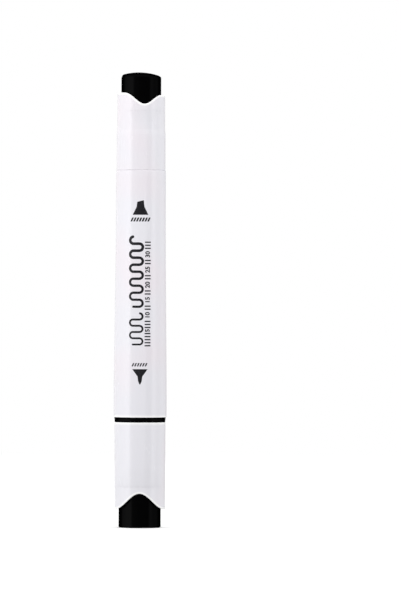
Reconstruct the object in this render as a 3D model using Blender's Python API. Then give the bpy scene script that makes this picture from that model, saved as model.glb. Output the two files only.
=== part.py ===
"""Felt tip marker with a broad end, a fine end and two pull-off caps, as a Blender 4.5 script.

The marker stands upright on the flat end of its fine cap. Its axis is +Z with the broad (chisel)
end up, and the origin is the centre of that flat end. The print on the barrel faces -Y, and the
high corner of the chisel nib points to +X. Lengths are in metres.

Twelve pieces: the barrel, the fine nib holder pressed into its lower end, two nibs, the ink
reservoir and its film, and two caps of three pieces each (shell, end plug, inner seal).
"""

import math

import bmesh
import bpy
from mathutils import Matrix

MM = 0.001

# Driving dimensions
OVERALL_LENGTH = 150.0 * MM
FINE_CAP_LENGTH = 34.72 * MM
BARREL_LENGTH = 81.33 * MM       # from the flange to the shoulder, without the broad neck
FLANGE_THICKNESS = 1.4 * MM
BARREL_FINE_RADIUS = 8.76 * MM
BARREL_BROAD_RADIUS = 8.21 * MM
TAPER_LENGTH = 69.0 * MM         # from the barrel's foot; above it the barrel runs straight

# Gaps between pieces
CAP_SEAM = 0.15 * MM             # between a cap's mouth and what it closes against
FLANGE_GAP = 0.10 * MM           # between the flange and the barrel's foot
PRESS_GAP = 0.08 * MM            # round a piece that is pressed into another
NIB_GAP = 0.10 * MM              # round a nib in its bore
FELT_GAP = 0.30 * MM             # round a nib's inner end in the reservoir
CUT_OVERSHOOT = 1.0 * MM         # how far a cutter stands out of what it cuts
TINY = 0.001 * MM                # for comparing heights and radii, and merging points

# Heights on the axis, worked out from the driving dimensions
FINE_CAP_MOUTH_Z = FINE_CAP_LENGTH
FLANGE_Z = FINE_CAP_MOUTH_Z + CAP_SEAM
FLANGE_TOP_Z = FLANGE_Z + FLANGE_THICKNESS
BARREL_Z = FLANGE_TOP_Z + FLANGE_GAP
SHOULDER_Z = BARREL_Z + BARREL_LENGTH
BROAD_CAP_MOUTH_Z = SHOULDER_Z + CAP_SEAM
BROAD_CAP_LENGTH = OVERALL_LENGTH - BROAD_CAP_MOUTH_Z

# Barrel, and its broad neck, cone and nozzle measured up from the shoulder
BARREL_WALL = 1.12 * MM
BARREL_FOOT_BEVEL = 0.3 * MM
SHOULDER_ROUND = 0.65 * MM
NECK_WALL = 1.3 * MM
BROAD_NECK_RADIUS = 7.15 * MM
BROAD_NECK_STEP = 0.15 * MM
BROAD_NECK_STEP_Z = SHOULDER_Z + 2.75 * MM
BROAD_CONE_Z = SHOULDER_Z + 4.7 * MM
BROAD_NOZZLE_Z = SHOULDER_Z + 11.5 * MM
BROAD_NOZZLE_TOP_Z = SHOULDER_Z + 18.55 * MM
BROAD_NOZZLE_RADIUS = 4.22 * MM
BROAD_NOZZLE_FLOOR_Z = BROAD_NOZZLE_Z - 1.8 * MM

# Ribs in the barrel's bore
RIB_COUNT = 6
RIB_HALF_ANGLE = math.radians(5)
RIB_Z = BARREL_Z + 9.5 * MM
RIB_TOP_Z = SHOULDER_Z - 2.2 * MM
RIB_LEAD = 0.4 * MM

# Snap bead round each neck, and the groove for it in each cap, measured from the neck's root
BEAD_START = 0.8 * MM
BEAD_RAMP = 0.3 * MM
BEAD_FLAT = 0.4 * MM
BROAD_BEAD_RISE = 0.10 * MM
FINE_BEAD_RISE = 0.18 * MM
GROOVE_START = 0.5 * MM
GROOVE_RAMP = 0.4 * MM
GROOVE_FLAT = 0.7 * MM
GROOVE_DEPTH = 0.12 * MM

# Chisel nib
CHISEL_WIDTH = 6.15 * MM
CHISEL_THICKNESS = 3.60 * MM
CHISEL_CORNER = 0.45 * MM
CHISEL_EDGE = 0.35 * MM          # worn bevel round the writing face
CHISEL_TOP_Z = SHOULDER_Z + 25.35 * MM
CHISEL_SLOPE = math.tan(math.radians(29.0))
CHISEL_LENGTH = 31.0 * MM

# Fine nib holder: skirt and flange, then neck, cone, nozzle and sleeve measured down from the flange
SKIRT_TOP_Z = BARREL_Z + 8.0 * MM
SKIRT_BEVEL = 0.4 * MM
FLANGE_RADIUS = 8.46 * MM
FLANGE_FOOT_RADIUS = 8.34 * MM
FLANGE_BEVEL = 0.1 * MM
FINE_NECK_RADIUS = 6.78 * MM
FINE_NECK_DRAFT = 0.1 * MM
FINE_CONE_Z = FLANGE_Z - 3.25 * MM
FINE_NOZZLE_Z = FLANGE_Z - 11.4 * MM
FINE_NOZZLE_RADIUS = 3.92 * MM
FINE_NOZZLE_END_RADIUS = 3.69 * MM
FINE_NOZZLE_END_Z = FLANGE_Z - 18.0 * MM
SLEEVE_RADIUS = 2.57 * MM
SLEEVE_END_RADIUS = 2.32 * MM
SLEEVE_GROOVE = 0.12 * MM
SLEEVE_END_Z = FLANGE_Z - 22.45 * MM
NIB_GUIDE_TOP_Z = FINE_NOZZLE_END_Z + 3.0 * MM
VENT_COUNT = 4
VENT_DEPTH = 0.3 * MM
VENT_HALF_ANGLE = math.radians(5)

# Bullet nib
FINE_NIB_TIP_Z = FLANGE_Z - 28.35 * MM
FINE_NIB_RADIUS = 1.46 * MM
FINE_NIB_POINT = 5.3 * MM        # length of the ogive point
FINE_NIB_LENGTH = 37.5 * MM
FINE_NIB_BEVEL = 0.4 * MM

# Reservoir
RESERVOIR_RADIUS = 6.20 * MM
RESERVOIR_BORE = RESERVOIR_RADIUS + 0.2 * MM
RESERVOIR_BEVEL = 0.3 * MM
FILM_THICKNESS = 0.20 * MM
FILM_GAP = 0.05 * MM
FILM_INSET = 0.5 * MM            # how much of the fibre stands out of each end of the film
RESERVOIR_Z = FLANGE_Z + 0.8 * MM
RESERVOIR_TOP_Z = SHOULDER_Z + 2.5 * MM

# Each cap, in its own frame: the mouth at height 0 and the closed end up. "wall" is the shell's
# outer side. Its end is cut straight through by a cosine bell, low in front and behind.
BROAD_CAP = {
    "name": "broad_cap",
    "length": BROAD_CAP_LENGTH,
    "wall": [(8.06, 0.25), (8.04, 12.0), (7.90, 13.0), (7.87, 20.0)],
    "bore_radius": 7.32 * MM,
    "plug_radius": 6.57 * MM,
    "wave_width": 12.3 * MM,
    "wave_low": 21.63 * MM,
    "wave_high": 24.97 * MM,
    "wave_slant": -0.060,
    "crown_slant": -0.035,
    "corner": 1.35 * MM,
    "dome_radius": 21.0 * MM,
    "seal": [(4.35 * MM, 12.2 * MM), (4.35 * MM, 26.35 * MM)],
}
FINE_CAP = {
    "name": "fine_cap",
    "length": FINE_CAP_LENGTH,
    "wall": [(8.41, 0.25), (8.35, 21.8)],
    "bore_radius": 7.06 * MM,
    "plug_radius": 6.96 * MM,
    "wave_width": 16.8 * MM,
    "wave_low": 23.40 * MM,
    "wave_high": 28.70 * MM,
    "wave_slant": 0.0,
    "crown_slant": 0.0,
    "corner": 0.6 * MM,
    "dome_radius": None,
    "seal": [
        (4.05 * MM, 12.3 * MM),
        (4.05 * MM, 18.7 * MM),
        (2.80 * MM, 19.4 * MM),
        (2.80 * MM, 29.1 * MM),
    ],
}
BROAD_CAP_TURN = math.radians(8.0)   # a round cap can sit at any angle on its neck
MOUTH_BEVEL = 0.25 * MM
SHELL_END_EDGE = 0.4 * MM            # rounding of the shell's cut end
SEAL_WALL = 0.5 * MM
SEAL_FOOT = 1.2 * MM
SEAL_LEAD = 0.4 * MM
PLUG_WALL = 1.0 * MM
PLUG_END_WALL = 1.6 * MM
PLUG_SKIRT_Z = 12.0 * MM             # where the plug's skirt begins inside the shell
PLUG_SKIRT_BEVEL = 0.25 * MM
PLUG_SEAT = 0.4 * MM                 # from the skirt down to the ledge that stops it
BORE_RAMP = 2.2 * MM                 # from that ledge down to the shell's bore

# Sides of the round pieces
SEGMENTS = 36
WAVE_SEGMENTS = 60                   # a cap shell, whose end is cut to a wave
SMALL_SEGMENTS = 24                  # a nib, a seal or the reservoir
TAPER_STEPS = 6                      # rings along the barrel's tapered side

WHITE = ("white_polypropylene", (0.86, 0.86, 0.90), 0.28)
BLACK = ("black_plastic", (0.004, 0.004, 0.005), 0.25)
GREY = ("charcoal_plastic", (0.030, 0.030, 0.032), 0.28)
NATURAL = ("natural_polyethylene", (0.72, 0.72, 0.70), 0.45)
FELT = ("inked_felt", (0.012, 0.012, 0.013), 0.90)
FIBRE = ("inked_fibre", (0.020, 0.020, 0.024), 0.95)
FILM = ("clear_film", (0.80, 0.82, 0.84), 0.12)


# Shared tools


def clear_scene():
    for obj in list(bpy.data.objects):
        bpy.data.objects.remove(obj, do_unlink=True)


def material(finish):
    name, colour, roughness = finish
    found = bpy.data.materials.get(name)
    if found:
        return found
    made = bpy.data.materials.new(name)
    made.use_nodes = True
    shader = made.node_tree.nodes["Principled BSDF"]
    shader.inputs["Base Color"].default_value = (*colour, 1.0)
    shader.inputs["Roughness"].default_value = roughness
    shader.inputs["Metallic"].default_value = 0.0
    return made


def arc(radius, height, size, start, end, steps=3):
    """Points on a circle of this size about (radius, height), from one angle in degrees to another."""
    angles = [math.radians(start + (end - start) * i / steps) for i in range(steps + 1)]
    return [(radius + size * math.cos(a), height + size * math.sin(a)) for a in angles]


def bead(radius, rise, start, ramp, flat):
    """Points of a ring that stands out from this radius: up a ramp, along its flat and down again."""
    return [
        (radius, start),
        (radius + rise, start + ramp),
        (radius + rise, start + ramp + flat),
        (radius, start + 2 * ramp + flat),
    ]


def turn(profile, closed, segments):
    """A solid of revolution about Z. A closed profile makes a ring; an open one ends on the axis."""
    mesh = bmesh.new()
    points = [mesh.verts.new((r, 0.0, z)) for r, z in profile]
    pairs = list(zip(points, points[1:]))
    if closed:
        pairs.append((points[-1], points[0]))
    edges = [mesh.edges.new(pair) for pair in pairs]
    bmesh.ops.spin(
        mesh,
        geom=points + edges,
        cent=(0, 0, 0),
        axis=(0, 0, 1),
        angle=2 * math.pi,
        steps=segments,
        use_merge=True,
    )
    bmesh.ops.remove_doubles(mesh, verts=mesh.verts, dist=TINY)
    bmesh.ops.recalc_face_normals(mesh, faces=mesh.faces)
    return mesh


def rounded_bar(width, depth, corner, bottom, top, steps=3):
    """An upright bar with rounded corners, centred on the axis. Returns the mesh and its top loop."""
    mesh = bmesh.new()
    outline = []
    for quarter, (sx, sy) in enumerate([(1, 1), (-1, 1), (-1, -1), (1, -1)]):
        centre = (sx * (width / 2 - corner), sy * (depth / 2 - corner))
        outline += arc(*centre, corner, 90 * quarter, 90 * quarter + 90, steps)
    floor = mesh.faces.new([mesh.verts.new((x, y, bottom)) for x, y in outline])
    raised = bmesh.ops.extrude_face_region(mesh, geom=[floor])["geom"]
    top_loop = [v for v in raised if isinstance(v, bmesh.types.BMVert)]
    for vert in top_loop:
        vert.co.z = top
    bmesh.ops.recalc_face_normals(mesh, faces=mesh.faces)
    return mesh, top_loop


def add_piece(name, mesh, finish, parent):
    """Makes the mesh a shaded object under its parent empty, whose frame the mesh was drawn in."""
    data = bpy.data.meshes.new(name)
    mesh.to_mesh(data)
    mesh.free()
    data.shade_smooth()
    data.set_sharp_from_angle(angle=math.radians(30))
    data.materials.append(material(finish))
    obj = bpy.data.objects.new(name, data)
    bpy.context.scene.collection.objects.link(obj)
    obj.parent = parent
    return obj


def add_empty(name, height, turned=0.0, flipped=False):
    empty = bpy.data.objects.new(name, None)
    bpy.context.scene.collection.objects.link(empty)
    flip = Matrix.Rotation(math.pi if flipped else 0.0, 4, "X")
    empty.matrix_world = Matrix.Translation((0, 0, height)) @ flip @ Matrix.Rotation(turned, 4, "Z")
    return empty


def cut_away(obj, cutter_mesh):
    """Subtracts a closed mesh from the object with a Boolean modifier and a hidden cutter."""
    data = bpy.data.meshes.new(obj.name + "_cutter")
    cutter_mesh.to_mesh(data)
    cutter_mesh.free()
    cutter = bpy.data.objects.new(data.name, data)
    bpy.context.scene.collection.objects.link(cutter)
    cutter.parent = obj.parent
    cutter.hide_render = True
    cutter.display_type = "WIRE"
    cut = obj.modifiers.new("cut", "BOOLEAN")
    cut.operation = "DIFFERENCE"
    cut.solver = "EXACT"
    cut.object = cutter


def set_radius(mesh, low, high, inside, wanted, radius):
    """Moves the bore's points between two heights to this radius, in every sector that is wanted."""
    for vert in mesh.verts:
        reach = math.hypot(vert.co.x, vert.co.y)
        if not (low <= vert.co.z <= high) or reach > inside or reach < TINY:
            continue
        if wanted(math.atan2(vert.co.y, vert.co.x)):
            vert.co.x *= radius / reach
            vert.co.y *= radius / reach


def sectors(count, half_width):
    """A test for angles that lie within half_width of one of count evenly spaced directions."""
    step = 2 * math.pi / count
    return lambda angle: abs((angle + step / 2) % step - step / 2) < half_width


# The body


def barrel_side():
    """The tapered part of the barrel's outer side, from its foot up: it slims in a gentle S."""
    foot, head = BARREL_Z + BARREL_FOOT_BEVEL, BARREL_Z + TAPER_LENGTH
    points = []
    for i in range(TAPER_STEPS + 1):
        share = i / TAPER_STEPS
        eased = share * share * (3 - 2 * share)
        radius = BARREL_FINE_RADIUS + (BARREL_BROAD_RADIUS - BARREL_FINE_RADIUS) * eased
        points.append((radius, foot + (head - foot) * share))
    return points


def add_barrel(parent):
    """The white tube with its broad neck, cone and nozzle in one moulding, and a ribbed bore."""
    bore_fine = BARREL_FINE_RADIUS - BARREL_WALL
    bore_broad = BARREL_BROAD_RADIUS - BARREL_WALL
    neck = BROAD_NECK_RADIUS
    upper_neck = neck - BROAD_NECK_STEP
    nozzle = BROAD_NOZZLE_RADIUS
    outside = [
        (BARREL_FINE_RADIUS - BARREL_FOOT_BEVEL, BARREL_Z),
        *barrel_side(),
        *arc(BARREL_BROAD_RADIUS - SHOULDER_ROUND, SHOULDER_Z - SHOULDER_ROUND, SHOULDER_ROUND, 0, 90),
        (neck, SHOULDER_Z),
        *bead(neck, BROAD_BEAD_RISE, SHOULDER_Z + BEAD_START, BEAD_RAMP, BEAD_FLAT),
        (neck, BROAD_NECK_STEP_Z),
        (upper_neck, BROAD_NECK_STEP_Z + 0.08 * MM),
        (upper_neck, BROAD_CONE_Z - 0.7 * MM),
        (upper_neck - 0.17 * MM, BROAD_CONE_Z),
        (nozzle + 0.12 * MM, BROAD_NOZZLE_Z - 0.1 * MM),
        (nozzle, BROAD_NOZZLE_Z + 0.4 * MM),
        (nozzle - 0.10 * MM, BROAD_NOZZLE_TOP_Z - 0.3 * MM),
        (nozzle - 0.35 * MM, BROAD_NOZZLE_TOP_Z),
        (0.0, BROAD_NOZZLE_TOP_Z),
    ]
    inside = [
        (0.0, BROAD_NOZZLE_FLOOR_Z),
        (nozzle - 0.10 * MM, BROAD_NOZZLE_FLOOR_Z),
        (neck - NECK_WALL, BROAD_CONE_Z),
        (RESERVOIR_BORE, BROAD_CONE_Z - 1.3 * MM),
        (RESERVOIR_BORE, SHOULDER_Z - 0.9 * MM),
        (bore_broad, RIB_TOP_Z),
        (bore_broad, RIB_TOP_Z - RIB_LEAD),
        (bore_fine, RIB_Z + RIB_LEAD),
        (bore_fine, RIB_Z),
        (bore_fine, BARREL_Z),
    ]
    mesh = turn([*inside, *outside], closed=False, segments=SEGMENTS)
    low, high = RIB_Z + RIB_LEAD / 2, RIB_TOP_Z - RIB_LEAD / 2
    set_radius(mesh, low, high, bore_fine + TINY, sectors(RIB_COUNT, RIB_HALF_ANGLE), RESERVOIR_BORE)
    barrel = add_piece("barrel", mesh, WHITE, parent)
    hole, _ = rounded_bar(
        CHISEL_WIDTH + 2 * NIB_GAP,
        CHISEL_THICKNESS + 2 * NIB_GAP,
        CHISEL_CORNER + NIB_GAP,
        BROAD_NOZZLE_FLOOR_Z - CUT_OVERSHOOT,
        BROAD_NOZZLE_TOP_Z + CUT_OVERSHOOT,
    )
    cut_away(barrel, hole)


def add_fine_nib_holder(parent):
    """The charcoal insert: a skirt pressed into the barrel, the flange, neck, cone, nozzle and sleeve."""
    skirt = BARREL_FINE_RADIUS - BARREL_WALL - PRESS_GAP
    neck = FINE_NECK_RADIUS
    neck_end = neck - FINE_NECK_DRAFT
    neck_bore = neck - NECK_WALL
    nib_bore = FINE_NIB_RADIUS + NIB_GAP
    groove = SLEEVE_RADIUS - SLEEVE_GROOVE
    profile = [
        (RESERVOIR_BORE, SKIRT_TOP_Z),
        (skirt - SKIRT_BEVEL, SKIRT_TOP_Z),
        (skirt, SKIRT_TOP_Z - SKIRT_BEVEL),
        (skirt, FLANGE_TOP_Z),
        (FLANGE_RADIUS - FLANGE_BEVEL, FLANGE_TOP_Z),
        (FLANGE_RADIUS, FLANGE_TOP_Z - FLANGE_BEVEL),
        (FLANGE_FOOT_RADIUS, FLANGE_Z + FLANGE_BEVEL),
        (FLANGE_FOOT_RADIUS - FLANGE_BEVEL, FLANGE_Z),
        (neck, FLANGE_Z),
        *bead(neck, FINE_BEAD_RISE, FLANGE_Z - BEAD_START, -BEAD_RAMP, -BEAD_FLAT),
        (neck_end, FINE_CONE_Z + 0.5 * MM),
        (neck_end - 0.12 * MM, FINE_CONE_Z - 0.2 * MM),
        (FINE_NOZZLE_RADIUS + 0.06 * MM, FINE_NOZZLE_Z + 0.1 * MM),
        (FINE_NOZZLE_RADIUS - 0.02 * MM, FINE_NOZZLE_Z - 0.3 * MM),
        (FINE_NOZZLE_END_RADIUS, FINE_NOZZLE_END_Z + 0.7 * MM),
        (FINE_NOZZLE_END_RADIUS - 0.4 * MM, FINE_NOZZLE_END_Z + 0.1 * MM),
        (FINE_NOZZLE_END_RADIUS - 0.7 * MM, FINE_NOZZLE_END_Z),
        (groove, FINE_NOZZLE_END_Z),
        (groove, FINE_NOZZLE_END_Z - 0.35 * MM),
        (SLEEVE_RADIUS, FINE_NOZZLE_END_Z - 0.5 * MM),
        (SLEEVE_END_RADIUS, SLEEVE_END_Z + 0.3 * MM),
        (SLEEVE_END_RADIUS - 0.27 * MM, SLEEVE_END_Z),
        (nib_bore, SLEEVE_END_Z),
        (nib_bore, NIB_GUIDE_TOP_Z),
        (2.60 * MM, NIB_GUIDE_TOP_Z + 0.6 * MM),
        (2.75 * MM, FINE_NOZZLE_Z - 0.4 * MM),
        (neck_bore, FINE_CONE_Z),
        (neck_bore, FLANGE_Z + 0.6 * MM),
        (RESERVOIR_BORE, FLANGE_Z + 0.6 * MM),
    ]
    mesh = turn(profile, closed=True, segments=SEGMENTS)
    low, high = SLEEVE_END_Z - TINY, NIB_GUIDE_TOP_Z + TINY
    is_vent = sectors(VENT_COUNT, VENT_HALF_ANGLE)
    set_radius(mesh, low, high, nib_bore + TINY, is_vent, nib_bore + VENT_DEPTH)
    add_piece("fine_nib_holder", mesh, GREY, parent)


def add_broad_nib(parent):
    """A felt bar cut on the slant, with a worn bevel round the writing face."""
    mesh, top_loop = rounded_bar(
        CHISEL_WIDTH,
        CHISEL_THICKNESS,
        CHISEL_CORNER,
        CHISEL_TOP_Z - CHISEL_LENGTH,
        CHISEL_TOP_Z,
    )
    for vert in top_loop:
        vert.co.z += (vert.co.x - CHISEL_WIDTH / 2) * CHISEL_SLOPE
    rim = [e for e in mesh.edges if e.verts[0] in top_loop and e.verts[1] in top_loop]
    bmesh.ops.bevel(mesh, geom=rim, offset=CHISEL_EDGE, segments=2, profile=0.5, affect="EDGES")
    add_piece("broad_nib", mesh, FELT, parent)


def add_fine_nib(parent):
    """A round felt rod with an ogive point."""
    steps, crowding, fullness = 8, 1.5, 0.625
    profile = [(0.0, FINE_NIB_TIP_Z)]
    for i in range(1, steps + 1):
        share = (i / steps) ** crowding
        radius = FINE_NIB_RADIUS * (1 - (1 - share) ** 2) ** fullness
        profile.append((radius, FINE_NIB_TIP_Z + share * FINE_NIB_POINT))
    top = FINE_NIB_TIP_Z + FINE_NIB_LENGTH
    profile += [
        (FINE_NIB_RADIUS, top - FINE_NIB_BEVEL),
        (FINE_NIB_RADIUS - FINE_NIB_BEVEL, top),
        (0.0, top),
    ]
    add_piece("fine_nib", turn(profile, closed=False, segments=SMALL_SEGMENTS), FELT, parent)


def add_reservoir_core(parent):
    """The bundle of ink fibre, with a pocket for each nib."""
    core = RESERVOIR_RADIUS - FILM_THICKNESS - FILM_GAP
    pocket = FINE_NIB_RADIUS + FELT_GAP
    pocket_top = FINE_NIB_TIP_Z + FINE_NIB_LENGTH + FELT_GAP
    profile = [
        (0.0, pocket_top),
        (pocket, pocket_top),
        (pocket, RESERVOIR_Z),
        (core - RESERVOIR_BEVEL, RESERVOIR_Z),
        (core, RESERVOIR_Z + RESERVOIR_BEVEL),
        (core, RESERVOIR_TOP_Z - RESERVOIR_BEVEL),
        (core - RESERVOIR_BEVEL, RESERVOIR_TOP_Z),
        (0.0, RESERVOIR_TOP_Z),
    ]
    mesh = turn(profile, closed=False, segments=SMALL_SEGMENTS)
    fibre = add_piece("reservoir_core", mesh, FIBRE, parent)
    chisel_pocket, _ = rounded_bar(
        CHISEL_WIDTH + 2 * FELT_GAP,
        CHISEL_THICKNESS + 2 * FELT_GAP,
        CHISEL_CORNER + FELT_GAP,
        CHISEL_TOP_Z - CHISEL_LENGTH - FELT_GAP,
        RESERVOIR_TOP_Z + CUT_OVERSHOOT,
    )
    cut_away(fibre, chisel_pocket)


def add_reservoir_film(parent):
    """The thin film round the fibre, open at both ends."""
    outer, inner = RESERVOIR_RADIUS, RESERVOIR_RADIUS - FILM_THICKNESS
    low, high = RESERVOIR_Z + FILM_INSET, RESERVOIR_TOP_Z - FILM_INSET
    profile = [(inner, low), (outer, low), (outer, high), (inner, high)]
    add_piece("reservoir_film", turn(profile, closed=True, segments=SMALL_SEGMENTS), FILM, parent)


# The caps


def wave_height(cap, x):
    """Height of the shell's end at x: a cosine bell with flats beside it, and the whole on a slant."""
    phase = max(-0.5, min(0.5, x / cap["wave_width"]))
    rise = (1 - math.cos(2 * math.pi * phase)) / 2
    return cap["wave_low"] + (cap["wave_high"] - cap["wave_low"]) * rise + cap["wave_slant"] * x


def add_cap_shell(cap, parent):
    """The white outer shell: it slides over the neck, snaps on the bead and grips the end plug."""
    bore, grip, top = cap["bore_radius"], cap["plug_radius"] + PRESS_GAP, cap["wave_high"]
    wall = [(radius * MM, height * MM) for radius, height in cap["wall"]]
    end, wall_top = wall[-1]
    ledge = PLUG_SKIRT_Z - PLUG_SEAT
    groove = bead(bore, GROOVE_DEPTH, GROOVE_START, GROOVE_RAMP, GROOVE_FLAT)
    profile = [
        (bore + MOUTH_BEVEL, 0.0),
        (wall[0][0] - MOUTH_BEVEL, 0.0),
        *wall,
        (end, top - SHELL_END_EDGE),
        (end - SHELL_END_EDGE / 3, top - SHELL_END_EDGE / 3),
        (end - SHELL_END_EDGE, top),
        (grip, top),
        (grip, wall_top),
        (grip, ledge),
        (bore, ledge - BORE_RAMP),
        *reversed(groove),
        (bore, MOUTH_BEVEL),
    ]
    mesh = turn(profile, closed=True, segments=WAVE_SEGMENTS)
    for vert in mesh.verts:
        if vert.co.z > wall_top + TINY:
            vert.co.z += wave_height(cap, vert.co.x) - top
    add_piece(cap["name"] + "_shell", mesh, WHITE, parent)


def crown(cap, shelf):
    """The middle of the plug's closed end, from the shelf radius to the axis: a dome, or flat."""
    if not cap["dome_radius"]:
        return [(0.0, cap["length"])]
    centre = cap["length"] - cap["dome_radius"]
    radii = [shelf * share for share in (0.9, 0.66, 0.33, 0.0)]
    return [(r, centre + math.sqrt(cap["dome_radius"] ** 2 - r**2)) for r in radii]


def add_cap_end_plug(cap, parent):
    """The dark cup whose closed end stands out of the shell: domed and slanted, or flat to stand on."""
    outer, inner, corner = cap["plug_radius"], cap["plug_radius"] - PLUG_WALL, cap["corner"]
    shelf = outer - corner
    dome = cap["dome_radius"]
    drop = dome - math.sqrt(dome**2 - shelf**2) if dome else 0.0
    last_angle = 90 - math.degrees(math.asin(shelf / dome)) if dome else 90
    rim_z = cap["length"] - drop - corner
    hollow = cap["length"] - PLUG_END_WALL
    inside = [(0.0, hollow), (inner - 0.6 * MM, hollow), (inner, hollow - 0.6 * MM)]
    outside = [
        (inner + PLUG_SKIRT_BEVEL, PLUG_SKIRT_Z),
        (outer - PLUG_SKIRT_BEVEL, PLUG_SKIRT_Z),
        (outer, PLUG_SKIRT_Z + 2 * PLUG_SKIRT_BEVEL),
        *arc(shelf, rim_z, corner, 0, last_angle),
        *crown(cap, shelf),
    ]
    mesh = turn([*inside, *outside], closed=False, segments=SEGMENTS)
    for vert in mesh.verts:
        if vert.co.z > rim_z - TINY:
            vert.co.z += cap["crown_slant"] * vert.co.x
    add_piece(cap["name"] + "_end_plug", mesh, BLACK, parent)


def add_cap_inner_seal(cap, parent):
    """The soft cup inside the plug that closes round the nozzle and keeps the nib from drying."""
    bore = cap["seal"]
    mouth_radius, mouth_z = bore[0]
    end_radius, end_z = bore[-1]
    foot = cap["plug_radius"] - PLUG_WALL - PRESS_GAP
    foot_z = mouth_z + 0.1 * MM
    side = [(radius + SEAL_WALL, height) for radius, height in bore[1:-1]]
    profile = [
        (0.0, end_z),
        *reversed(bore[1:]),
        (mouth_radius, foot_z + 2 * SEAL_LEAD),
        (mouth_radius + SEAL_LEAD, foot_z),
        (foot, foot_z),
        (foot, mouth_z + SEAL_FOOT),
        (mouth_radius + SEAL_WALL, mouth_z + SEAL_FOOT),
        *side,
        (end_radius + SEAL_WALL, end_z + 0.2 * MM),
        (end_radius + 0.2 * MM, end_z + SEAL_WALL),
        (0.0, end_z + SEAL_WALL),
    ]
    mesh = turn(profile, closed=False, segments=SMALL_SEGMENTS)
    add_piece(cap["name"] + "_inner_seal", mesh, NATURAL, parent)


def add_cap(cap, parent):
    add_cap_shell(cap, parent)
    add_cap_end_plug(cap, parent)
    add_cap_inner_seal(cap, parent)


def main():
    clear_scene()
    pen = add_empty("pen_body", 0.0)
    add_barrel(pen)
    add_fine_nib_holder(pen)
    add_broad_nib(pen)
    add_fine_nib(pen)
    add_reservoir_core(pen)
    add_reservoir_film(pen)
    # Each cap's empty is on its sliding axis, at the mouth. The fine cap's frame points down.
    add_cap(BROAD_CAP, add_empty("broad_cap", BROAD_CAP_MOUTH_Z, turned=BROAD_CAP_TURN))
    add_cap(FINE_CAP, add_empty("fine_cap", FINE_CAP_MOUTH_Z, flipped=True))


main()
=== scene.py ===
"""Looks for the felt tip marker: fine meshes, materials, print, light and camera.

The marker stands on its fine cap with its axis on +Z and its print facing -Y. Outlines here are in
millimetres, and their places come from the frame. Each finished piece stands for one CAD node.
"""

import math

import bmesh
import bpy
import numpy as np
from mathutils import Matrix, Vector, noise


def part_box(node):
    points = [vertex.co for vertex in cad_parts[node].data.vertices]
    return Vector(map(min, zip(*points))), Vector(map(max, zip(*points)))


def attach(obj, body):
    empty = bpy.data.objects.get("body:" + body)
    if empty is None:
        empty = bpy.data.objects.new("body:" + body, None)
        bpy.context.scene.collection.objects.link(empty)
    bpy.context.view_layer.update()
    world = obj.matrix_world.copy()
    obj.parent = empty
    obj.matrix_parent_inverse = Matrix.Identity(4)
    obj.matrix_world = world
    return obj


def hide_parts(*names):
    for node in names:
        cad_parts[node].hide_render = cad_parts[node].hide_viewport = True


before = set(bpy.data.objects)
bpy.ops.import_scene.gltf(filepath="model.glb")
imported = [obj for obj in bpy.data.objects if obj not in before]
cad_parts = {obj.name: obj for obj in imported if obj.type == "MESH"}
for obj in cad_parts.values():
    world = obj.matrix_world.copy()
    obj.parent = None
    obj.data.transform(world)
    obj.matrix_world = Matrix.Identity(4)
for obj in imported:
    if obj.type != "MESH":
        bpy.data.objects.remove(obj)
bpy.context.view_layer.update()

MM = 0.001


def low(node):
    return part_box(node)[0].z / MM


def high(node):
    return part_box(node)[1].z / MM


def reach(node):
    """The radius of a turned node, or half the width of the chisel nib."""
    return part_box(node)[1].x / MM


# Heights and radii that the frame gives, in millimetres
CAP_SEAM = 0.15
FLANGE = high("fine_cap_shell") + CAP_SEAM
BARREL_FOOT = low("barrel")
SHOULDER = low("broad_cap_shell") - CAP_SEAM
BARREL_FOOT_RADIUS = reach("barrel")
BARREL_TAPER = 0.55                  # how much smaller the radius is at the shoulder
SHOULDER_RADIUS = BARREL_FOOT_RADIUS - BARREL_TAPER
TAPER_LENGTH = 69.0                  # from the barrel's foot; above it the barrel runs straight
BARREL_WALL = 1.12
RESERVOIR_BORE = reach("reservoir_film") + 0.2
BROAD_CAP_TURN = math.radians(8.0)
HAIRLINE = 0.03                      # what is left of a seam that the CAD leaves wider

ROUND = 192                          # points round a large turned piece
WAVY = 288                           # points round a cap shell
SMALL = 96                           # points round a nib, seal or film
SHARP_ANGLE = 38                     # degrees between faces from which their edge shows as sharp


# Outlines


def rounded_corner(before, corner, after, size, steps):
    """Points of the arc of this size that rounds a corner off."""
    p = Vector(corner)
    to_before, to_after = Vector(before) - p, Vector(after) - p
    half = to_before.angle(to_after) / 2
    cut = min(size / math.tan(half), 0.48 * to_before.length, 0.48 * to_after.length)
    start, end = p + to_before.normalized() * cut, p + to_after.normalized() * cut
    middle = (to_before.normalized() + to_after.normalized()).normalized()
    centre = p + middle * cut / math.cos(half)
    sweep = math.pi - 2 * half
    side = 1 if to_before.x * to_after.y - to_before.y * to_after.x < 0 else -1
    spoke = start - centre
    points = [centre + Matrix.Rotation(side * sweep * i / steps, 2) @ spoke for i in range(steps)]
    return [tuple(point) for point in points] + [tuple(end)]


def outline(corners, steps=5):
    """An outline through corners (radius, height, rounding). The first and last stay sharp."""
    points = []
    for i, corner in enumerate(corners):
        inner = 0 < i < len(corners) - 1
        if inner and len(corner) == 3 and corner[2] > 0:
            before, after = corners[i - 1][:2], corners[i + 1][:2]
            points += rounded_corner(before, corner[:2], after, corner[2], steps)
        else:
            points.append(tuple(corner[:2]))
    return points


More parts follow.
